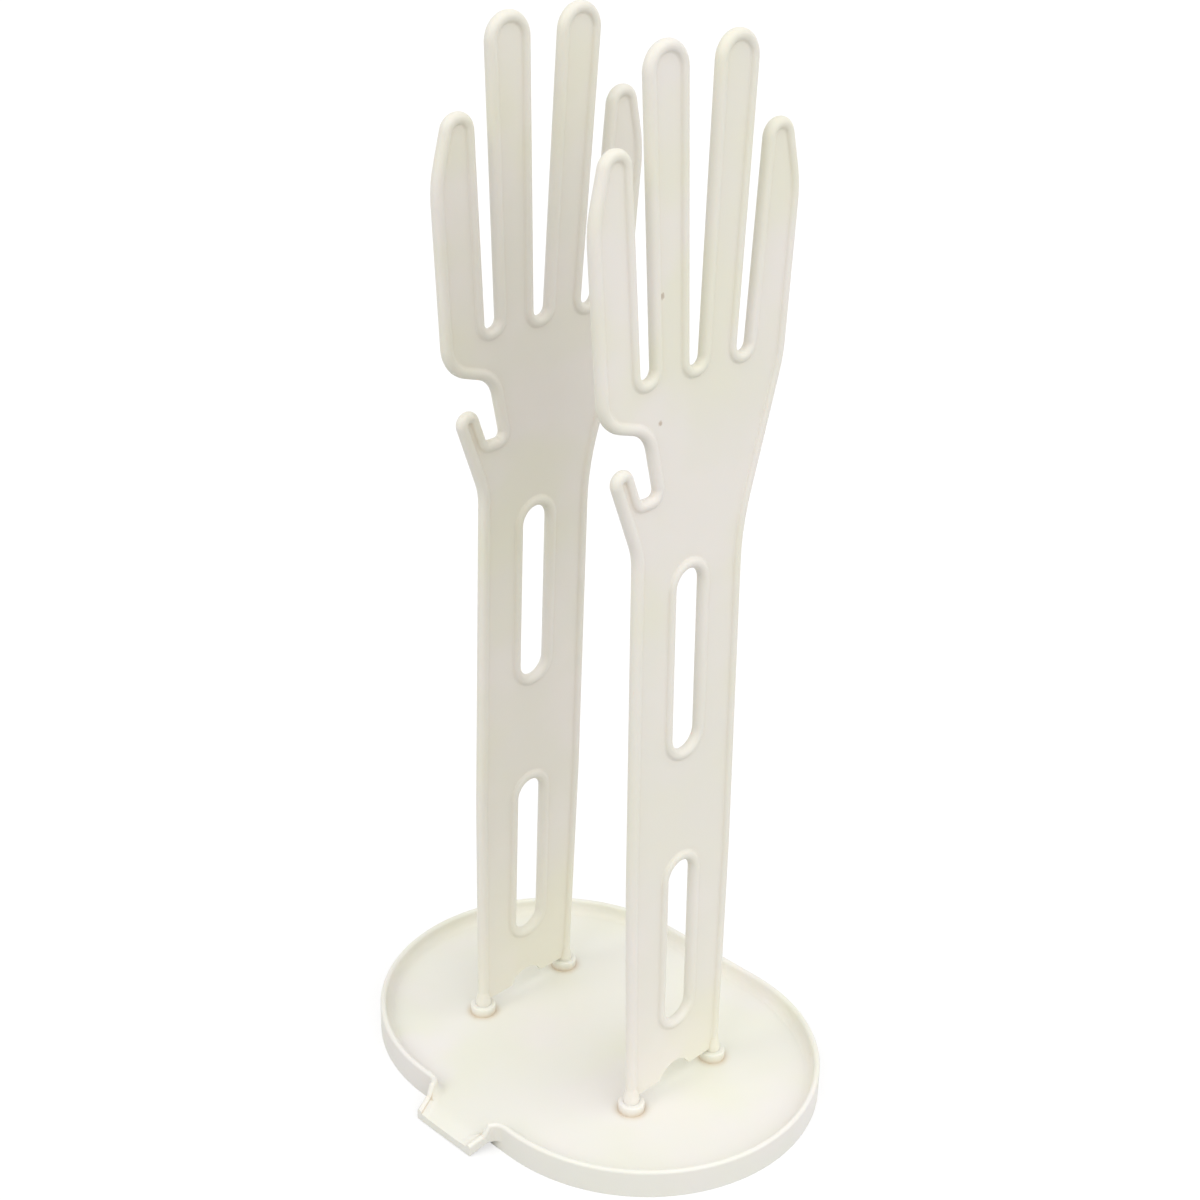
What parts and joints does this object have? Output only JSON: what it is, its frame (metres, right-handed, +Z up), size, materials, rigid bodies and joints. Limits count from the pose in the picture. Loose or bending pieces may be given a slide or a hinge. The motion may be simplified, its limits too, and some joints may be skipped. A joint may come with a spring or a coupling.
{
  "type": "glove drying rack",
  "caption": "Drying rack for gloves: flat hand-shaped forms with slots, plugged by their feet into an oval drip tray with a pouring spout.",
  "frame": {"origin": "on the table, at the middle of the tray's oval", "axes": "+X across the hands, away from the spout; +Y along the tray, from the front form to the rear form; +Z up"},
  "size_m": [0.132, 0.1658, 0.3499],
  "materials": {
    "tray_plastic": "satin moulded",
    "form_plastic": "satin moulded"
  },
  "bodies": {
    "root": {"drip_tray": "tray_plastic", "front_hand_form": "form_plastic", "rear_hand_form": "form_plastic"}
  },
  "joints": []
}
